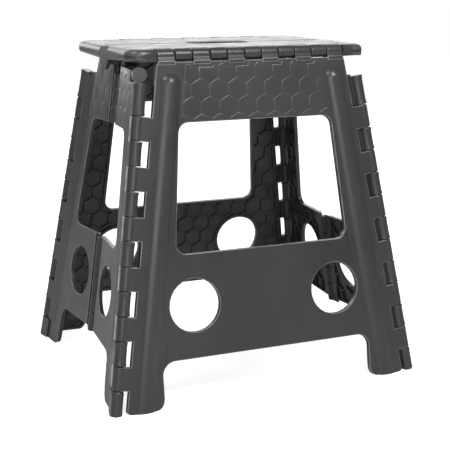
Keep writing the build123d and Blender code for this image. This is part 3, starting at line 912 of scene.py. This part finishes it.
class StoolLegPanels(bpy.types.Operator):
    """Ribbed leg panels with round tabs and raised hexagons over the window."""

    bl_idname = "stool.leg_panels"
    bl_label = "Leg panels"

    def execute(self, context):
        shape = context.scene.stool_shape
        for node_name in LEG_PANELS:
            side = node_name.split("_")[0]
            corners = [f"rod_corner_{side}_left", f"rod_corner_{side}_right"]
            rods = [f"rod_tread_{side}", *corners]
            panel = panel_copy(node_name)
            lines = [own_line(node_name, rod) for rod in rods]
            hinge = lines[0][0]
            centre = Vector((hinge.x, hinge.y - shape.first_row, 0))
            outer = outer_level(panel)
            floor = outer - shape.leg_skin
            rim = outer - shape.leg_depth
            slim_knuckles(panel, lines, shape.knuckle, shape)
            fade_beads(panel, outer, foot_down(node_name), shape)
            fill_cells(panel, rim, floor)
            join_flats(panel)
            panel = trim_feet(panel, outer, foot_down(node_name), shape)
            planes = [head_plane(node_name, shape.leg_head, shape.relief_margin)]
            planes += [beside(line, shape.bead_reach, centre) for line in lines[1:]]
            field = plain_field(panel, outer, shape.relief_margin, planes)
            pads = relief(field, outer, shape, centre)
            inner = faces_at(panel, rim, -1)
            bmesh.ops.inset_region(
                panel, faces=inner, thickness=shape.leg_rim, use_even_offset=True
            )
            region = part_of(panel, inner)
            pressed = bmesh.ops.extrude_face_region(panel, geom=inner)["geom"]
            bmesh.ops.delete(panel, geom=inner, context="FACES")
            raised = [item for item in pressed if isinstance(item, bmesh.types.BMVert)]
            bmesh.ops.translate(panel, vec=(0, 0, floor - rim), verts=raised)
            for line in lines[1:]:
                fill_notches(panel, line, centre, shape)
            split_large(panel)
            edges = moulded_edges(panel, lines, foot_down(node_name))
            soften(panel, edges, shape.edge_round, lines=lines)
            add(panel, ribs(region, floor, rim + shape.rib_drop, shape, centre))
            add(panel, pads)
            # paint light on the inner side
            paint_core_light(panel)
            panel.transform(panel_axes(node_name))
            barrels(panel, node_name, rods, shape, shape.knuckle)
            finish_piece(panel, node_name, f"{side}_leg_panel", node_name)
        return {"FINISHED"}


class StoolEndHalves(bpy.types.Operator):
    """Ribbed end halves with flared corner knuckles, lugs and barrels on the middle line."""

    bl_idname = "stool.end_halves"
    bl_label = "End halves"

    def execute(self, context):
        shape = context.scene.stool_shape
        for node_name in END_HALVES:
            end, _, side = node_name.split("_")
            corner = f"rod_corner_{side}_{end}"
            middles = [f"rod_{end}_upper", f"rod_{end}_lower"]
            panel = panel_copy(node_name)
            lines = [own_line(node_name, rod) for rod in (corner, *middles)]
            outer = outer_level(panel)
            floor = outer - shape.end_skin
            rim = outer - shape.end_depth
            down = foot_down(node_name)
            centre = (lines[0][0] + lines[1][0]) / 2
            slope = flange(panel, node_name, corner, centre, outer, shape)
            slim_knuckles(panel, lines[:1], shape.knuckle, shape)
            lift_sole(panel, lines[0], down, shape)
            join_flats(panel)
            panel = trim_toes(panel, outer, lines[0], down, shape)
            planes = [head_plane(node_name, shape.end_head, shape.relief_margin)]
            planes.append(beside(lines[0], shape.flange_reach, centre))
            field = plain_field(panel, outer, shape.relief_margin, planes)
            pads = relief(field, outer, shape, centre)
            region = part_of(panel, faces_at(panel, floor, -1))
            net = ribs(region, floor, rim + shape.rib_drop, shape, centre)
            cut(net, Vector((0, 0, 0)), down)
            cut(slope, Vector((0, 0, 0)), down)
            split_large(panel)
            soften(panel, moulded_edges(panel, lines, down), shape.edge_round, lines=lines)
            add(panel, net)
            add(panel, pads)
            add(panel, slope)
            panel.transform(panel_axes(node_name))
            barrels(panel, node_name, [corner], shape, shape.knuckle, shape.flare)
            barrels(panel, node_name, middles, shape, shape.mid_knuckle, rise=shape.mid_rise)
            if node_name in LUGGED_ENDS:
                add(panel, lug(node_name, corner, shape))
            finish_piece(panel, node_name, f"{end}_{side}_end_half", node_name)
        return {"FINISHED"}


def end_edges(panel, beyond):
    """Edges beside the broken edge round the ends of a tread half."""
    edges = []
    for edge in panel.edges:
        if len(edge.link_faces) == 2 and edge.is_convex and edge.calc_face_angle() > SHARP:
            sloped = any(BROKEN[0] < face.normal.z < BROKEN[1] for face in edge.link_faces)
            if sloped and min(abs(vert.co.x) for vert in edge.verts) > beyond:
                edges.append(edge)
    return edges


def under_edges(panel, rim, drop, beyond):
    """Edges under the ends of a tread half, between its outer walls and its underside."""
    edges = []
    for edge in panel.edges:
        if len(edge.link_faces) != 2 or not edge.is_convex:
            continue
        normals = [face.normal for face in edge.link_faces]
        wall, under = sorted(normals, key=lambda normal: -normal.z)
        place = (edge.verts[0].co + edge.verts[1].co) / 2
        outward = wall.to_2d().dot(place.to_2d()) > 0 and abs(wall.z) < 1 - FLAT
        heights = [vert.co.z for vert in edge.verts]
        level = rim - drop < min(heights) and max(heights) < rim + NEAR
        at_end = min(abs(vert.co.x) for vert in edge.verts) > beyond
        if outward and level and under.z < UNDER and at_end:
            edges.append(edge)
    return edges


class StoolTreadHalves(bpy.types.Operator):
    """Tread halves with round ends, ribs underneath and raised hexagons on top."""

    bl_idname = "stool.tread_halves"
    bl_label = "Tread halves"

    def execute(self, context):
        shape = context.scene.stool_shape
        for node_name in TREADS:
            side = node_name.split("_")[1]
            rod = f"rod_tread_{side}"
            panel = panel_copy(node_name)
            lines = [own_line(node_name, rod)]
            outer = outer_level(panel)
            join_flats(panel)
            floor = outer - shape.tread_skin
            rim = outer - shape.tread_depth
            row_end = max(abs(vert.co.x) for vert in panel.verts) - shape.plain_end
            field = plain_field(panel, outer, shape.relief_margin, [])
            pads = relief(field, outer, shape, Vector((0, 0, 0)))
            region = part_of(panel, faces_at(panel, floor, -1))
            # the rounded ends of the tread are painted lighter: a painted sheen
            soften(panel, end_edges(panel, row_end), shape.end_round, worn_and_lit=PAINTED_END_SHEEN)
            under = under_edges(panel, rim, shape.rim_round, row_end)
            soften(panel, under, shape.rim_round, worn_and_lit=PAINTED_END_SHEEN)
            split_large(panel)
            edges = moulded_edges(panel, lines, Vector((0, 0, -1)))
            inner = [
                edge for edge in edges if max(abs(vert.co.x) for vert in edge.verts) < row_end
            ]
            soften(panel, inner, shape.edge_round, lines=lines)
            add(panel, ribs(region, floor, rim + shape.rib_drop, shape, Vector((0, 0, 0))))
            add(panel, pads)
            panel.transform(panel_axes(node_name))
            barrels(panel, node_name, [rod], shape, shape.knuckle, rise=shape.tread_knuckle)
            finish_piece(panel, node_name, f"{side}_tread_half", node_name)
        return {"FINISHED"}


class StoolRods(bpy.types.Operator):
    """Steel on the hinge rods."""

    bl_idname = "stool.rods"
    bl_label = "Hinge rods"

    def execute(self, context):
        drawn = steel()
        for name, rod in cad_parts.items():
            if name.startswith("rod_"):
                rod.data.materials.clear()
                rod.data.materials.append(drawn)
        return {"FINISHED"}


def lamp(name, place, target, width, height, power):
    """Rectangular soft lamp."""
    light = bpy.data.lights.new(name, "AREA")
    light.shape = "RECTANGLE"
    light.size = width
    light.size_y = height
    light.energy = power
    item = bpy.data.objects.new(name, light)
    item.location = place
    aim = Vector(target) - Vector(place)
    item.rotation_euler = aim.to_track_quat("-Z", "Y").to_euler()
    item.visible_camera = False
    bpy.context.scene.collection.objects.link(item)


def seen_ray(tree):
    """Output that is 1 on rays from the camera or through a clear body."""
    path = shader_node(tree, "ShaderNodeLightPath")
    either = shader_node(tree, "ShaderNodeMath", operation="MAXIMUM")
    tree.links.new(path.outputs["Is Camera Ray"], either.inputs[0])
    tree.links.new(path.outputs["Is Transmission Ray"], either.inputs[1])
    return either.outputs["Value"]


class StoolStageSet(bpy.types.Operator):
    """White floor, soft lamps, world and camera."""

    bl_idname = "stool.stage"
    bl_label = "Stage"

    def execute(self, context):
        scene = context.scene
        stage = scene.stool_stage
        scene.view_settings.view_transform = "Standard"
        sheet = bmesh.new()
        bmesh.ops.create_grid(sheet, x_segments=1, y_segments=1, size=FLOOR_SIZE)
        mesh = bpy.data.meshes.new("floor")
        sheet.to_mesh(mesh)
        sheet.free()
        floor = bpy.data.objects.new("floor", mesh)
        scene.collection.objects.link(floor)
        paper = bpy.data.materials.new("white floor")
        paper.use_nodes = True
        tree = paper.node_tree
        tree.nodes.remove(tree.nodes["Principled BSDF"])
        matt = shader_node(tree, "ShaderNodeBsdfDiffuse")
        matt.inputs["Color"].default_value = (*stage.floor, 1)
        glow = shader_node(tree, "ShaderNodeEmission")
        lift = shader_node(tree, "ShaderNodeMath", operation="MULTIPLY")
        lift.inputs[1].default_value = stage.floor_lift
        tree.links.new(seen_ray(tree), lift.inputs[0])
        tree.links.new(lift.outputs["Value"], glow.inputs["Strength"])
        both = shader_node(tree, "ShaderNodeAddShader")
        tree.links.new(matt.outputs["BSDF"], both.inputs[0])
        tree.links.new(glow.outputs["Emission"], both.inputs[1])
        tree.links.new(both.outputs["Shader"], tree.nodes["Material Output"].inputs["Surface"])
        mesh.materials.append(paper)

        world = bpy.data.worlds.new("studio")
        scene.world = world
        world.use_nodes = True
        tree = world.node_tree
        path = shader_node(tree, "ShaderNodeLightPath")
        glossy = shader_node(tree, "ShaderNodeMapRange")
        glossy.inputs["To Min"].default_value = stage.ambient
        glossy.inputs["To Max"].default_value = stage.sheen
        tree.links.new(path.outputs["Is Glossy Ray"], glossy.inputs["Value"])
        level = shader_node(tree, "ShaderNodeMapRange")
        level.inputs["To Max"].default_value = 1
        tree.links.new(glossy.outputs["Result"], level.inputs["To Min"])
        tree.links.new(seen_ray(tree), level.inputs["Value"])
        sky = tree.nodes["Background"]
        sky.inputs["Color"].default_value = (1, 1, 1, 1)
        tree.links.new(level.outputs["Result"], sky.inputs["Strength"])

        for values in LAMPS:
            lamp(*values)

        camera = bpy.data.cameras.new("camera")
        camera.lens = stage.lens
        camera.sensor_width = SENSOR
        view = bpy.data.objects.new("camera", camera)
        view.location = stage.camera
        aim = Vector(stage.target) - Vector(stage.camera)
        view.rotation_euler = aim.to_track_quat("-Z", "Y").to_euler()
        scene.collection.objects.link(view)
        scene.camera = view
        return {"FINISHED"}


class StoolPanel(bpy.types.Panel):
    """Steps that build the stool, in order."""

    bl_idname = "VIEW3D_PT_stool"
    bl_label = "Folding step stool"
    bl_space_type = "VIEW_3D"
    bl_region_type = "UI"
    bl_category = "Stool"

    def draw(self, context):
        for step in STEPS:
            self.layout.operator(step.bl_idname)


STEPS = (StoolLegPanels, StoolEndHalves, StoolTreadHalves, StoolRods, StoolStageSet)
GROUPS = {"stool_shape": StoolShape, "stool_finish": StoolFinish, "stool_stage": StoolStage}


def register():
    for kind in (*GROUPS.values(), *STEPS, StoolPanel):
        bpy.utils.register_class(kind)
    for name, group in GROUPS.items():
        setattr(bpy.types.Scene, name, PointerProperty(type=group))


def unregister():
    for name in GROUPS:
        delattr(bpy.types.Scene, name)
    for kind in reversed((*GROUPS.values(), *STEPS, StoolPanel)):
        bpy.utils.unregister_class(kind)


def main():
    register()
    bpy.ops.stool.leg_panels()
    bpy.ops.stool.end_halves()
    bpy.ops.stool.tread_halves()
    bpy.ops.stool.rods()
    bpy.ops.stool.stage()


if __name__ == "__main__":
    main()
